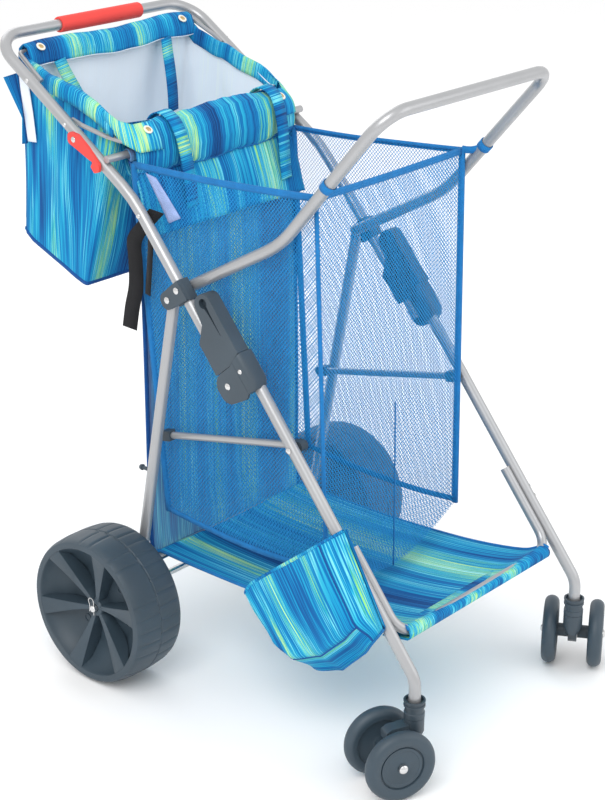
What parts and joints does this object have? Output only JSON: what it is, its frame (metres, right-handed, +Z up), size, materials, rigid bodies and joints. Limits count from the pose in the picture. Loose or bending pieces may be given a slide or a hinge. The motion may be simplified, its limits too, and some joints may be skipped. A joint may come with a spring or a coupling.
{
  "type": "beach cart",
  "caption": "Folding beach cart with a bent tube frame, a mesh basket, a low cloth tray, a handle tote bag, wide rear wheels and twin swivel casters.",
  "frame": {"origin": "on the ground, at the middle of the cart's plan outline", "axes": "+Z up, -Y the way the cart is pushed (casters lead), +Y the handle side, X across"},
  "size_m": [0.6866, 0.9467, 1.0333],
  "materials": {
    "silver_tube": "satin silver-grey paint on round tube",
    "grey_plastic": "moulded slate-grey nylon with fine grain",
    "wheel_plastic": "moulded dark grey wheel plastic with a fine texture",
    "red_foam": "soft closed-cell foam",
    "red_plastic": "moulded red plastic",
    "steel": "plated steel rivets and wire",
    "mesh": "open knitted polyester mesh with bound seams",
    "striped_cloth": "woven polyester printed with streaks of blue, teal and lime",
    "webbing": "black polypropylene webbing"
  },
  "bodies": {
    "handle_frame": {"handle_tube": "silver_tube", "handle_grip": "red_foam", "cross_tube": "silver_tube", "bag_loop": "silver_tube", "bag_rear_rod": "silver_tube", "rail_bracket_right": "grey_plastic", "rail_bracket_left": "grey_plastic", "shoulder_pin_right": "steel", "shoulder_pin_left": "steel", "loop_pin_right": "steel", "loop_pin_left": "steel", "hook_rivet": "steel", "mesh_basket": "mesh", "tote_bag": "striped_cloth", "rear_panel": "striped_cloth", "web_strap": "webbing"},
    "front_frame": {"front_leg_right": "silver_tube", "front_leg_left": "silver_tube", "knee_bracket_right": "grey_plastic", "knee_bracket_left": "grey_plastic", "knee_pin_right": "steel", "knee_pin_left": "steel", "tray_loop": "silver_tube", "tray_fabric": "striped_cloth", "side_pocket": "striped_cloth", "caster_socket_right": "grey_plastic", "caster_socket_left": "grey_plastic", "strut_pin_right": "steel", "strut_pin_left": "steel"},
    "rear_frame": {"rear_leg_right": "silver_tube", "rear_leg_left": "silver_tube", "rear_axle": "steel", "rear_cross_tube": "silver_tube", "catch_pin": "grey_plastic", "wheel_spacer_right": "grey_plastic", "wheel_spacer_left": "grey_plastic", "cotter_pin_right": "steel", "cotter_pin_left": "steel"},
    "basket_frame": {"basket_loop": "silver_tube"},
    "hook": {"latch_hook": "red_plastic"},
    "strut_right": {"side_strut_right": "silver_tube", "strut_cap_right_front": "grey_plastic", "strut_cap_right_rear": "grey_plastic"},
    "sleeve_right": {"lock_sleeve_right": "grey_plastic"},
    "wheel_right": {"rear_wheel_right": "wheel_plastic"},
    "caster_right": {"caster_fork_right": "grey_plastic", "caster_axle_right": "steel"},
    "caster_wheel_right_outer_body": {"caster_wheel_right_outer": "wheel_plastic"},
    "caster_wheel_right_inner_body": {"caster_wheel_right_inner": "wheel_plastic"},
    "strut_left": {"side_strut_left": "silver_tube", "strut_cap_left_front": "grey_plastic", "strut_cap_left_rear": "grey_plastic"},
    "sleeve_left": {"lock_sleeve_left": "grey_plastic"},
    "wheel_left": {"rear_wheel_left": "wheel_plastic"},
    "caster_left": {"caster_fork_left": "grey_plastic", "caster_axle_left": "steel"},
    "caster_wheel_left_outer_body": {"caster_wheel_left_outer": "wheel_plastic"},
    "caster_wheel_left_inner_body": {"caster_wheel_left_inner": "wheel_plastic"}
  },
  "joints": [
    {"name": "frame_fold", "type": "hinge", "parent": "handle_frame", "child": "front_frame", "pos_m": [0, -0.0701, 0.5545], "axis": [1, 0, 0], "range_deg": [0, 80], "deforming": ["mesh_basket", "rear_panel", "tray_fabric"]},
    {"name": "rear_leg_fold", "type": "hinge", "parent": "handle_frame", "child": "rear_frame", "pos_m": [0, 0.0576, 0.6646], "axis": [1, 0, 0], "range_deg": [0, 45]},
    {"name": "basket_loop_fold", "type": "hinge", "parent": "handle_frame", "child": "basket_frame", "pos_m": [0, 0.0377, 0.6845], "axis": [1, 0, 0], "range_deg": [-62.5, 0]},
    {"name": "hook_swing", "type": "hinge", "parent": "handle_frame", "child": "hook", "pos_m": [-0.2345, 0.2575, 0.8865], "axis": [1, 0, 0], "range_deg": [-25, 25]},
    {"name": "strut_right_fold", "type": "hinge", "parent": "front_frame", "child": "strut_right", "pos_m": [-0.1945, -0.1804, 0.4745], "axis": [1, 0, 0], "range_deg": [-53, 0]},
    {"name": "lock_slide_right", "type": "slide", "parent": "handle_frame", "child": "sleeve_right", "axis": [0, 0.6387, 0.7694], "range_m": [0, 0.012]},
    {"name": "wheel_right_spin", "type": "hinge", "parent": "rear_frame", "child": "wheel_right", "pos_m": [-0.2933, 0.1561, 0.127], "axis": [1, 0, 0], "continuous": true},
    {"name": "caster_right_swivel", "type": "hinge", "parent": "front_frame", "child": "caster_right", "pos_m": [-0.2148, -0.4247, 0.1], "axis": [0, 0, 1], "continuous": true},
    {"name": "caster_wheel_right_outer_spin", "type": "hinge", "parent": "caster_right", "child": "caster_wheel_right_outer_body", "pos_m": [-0.26733, -0.441, 0.0568], "axis": [0.4399, 0.898, 0], "continuous": true},
    {"name": "caster_wheel_right_inner_spin", "type": "hinge", "parent": "caster_right", "child": "caster_wheel_right_inner_body", "pos_m": [-0.23411, -0.3732, 0.0568], "axis": [0.4399, 0.898, 0], "continuous": true},
    {"name": "strut_left_fold", "type": "hinge", "parent": "front_frame", "child": "strut_left", "pos_m": [0.1945, -0.1804, 0.4745], "axis": [1, 0, 0], "range_deg": [-53, 0]},
    {"name": "lock_slide_left", "type": "slide", "parent": "handle_frame", "child": "sleeve_left", "axis": [0, 0.6387, 0.7694], "range_m": [0, 0.012]},
    {"name": "wheel_left_spin", "type": "hinge", "parent": "rear_frame", "child": "wheel_left", "pos_m": [0.2933, 0.1561, 0.127], "axis": [1, 0, 0], "continuous": true},
    {"name": "caster_left_swivel", "type": "hinge", "parent": "front_frame", "child": "caster_left", "pos_m": [0.2148, -0.4247, 0.1], "axis": [0, 0, 1], "continuous": true},
    {"name": "caster_wheel_left_outer_spin", "type": "hinge", "parent": "caster_left", "child": "caster_wheel_left_outer_body", "pos_m": [0.23066, -0.37204, 0.0568], "axis": [0.4985, -0.8669, 0], "continuous": true},
    {"name": "caster_wheel_left_inner_spin", "type": "hinge", "parent": "caster_left", "child": "caster_wheel_left_inner_body", "pos_m": [0.26829, -0.43749, 0.0568], "axis": [0.4985, -0.8669, 0], "continuous": true}
  ],
  "couplings": [
    {"joint": "rear_leg_fold", "follows": "frame_fold", "ratio": 0.56},
    {"joint": "basket_loop_fold", "follows": "frame_fold", "ratio": -0.78},
    {"joint": "strut_right_fold", "follows": "frame_fold", "ratio": -0.652},
    {"joint": "strut_left_fold", "follows": "frame_fold", "ratio": -0.652}
  ]
}
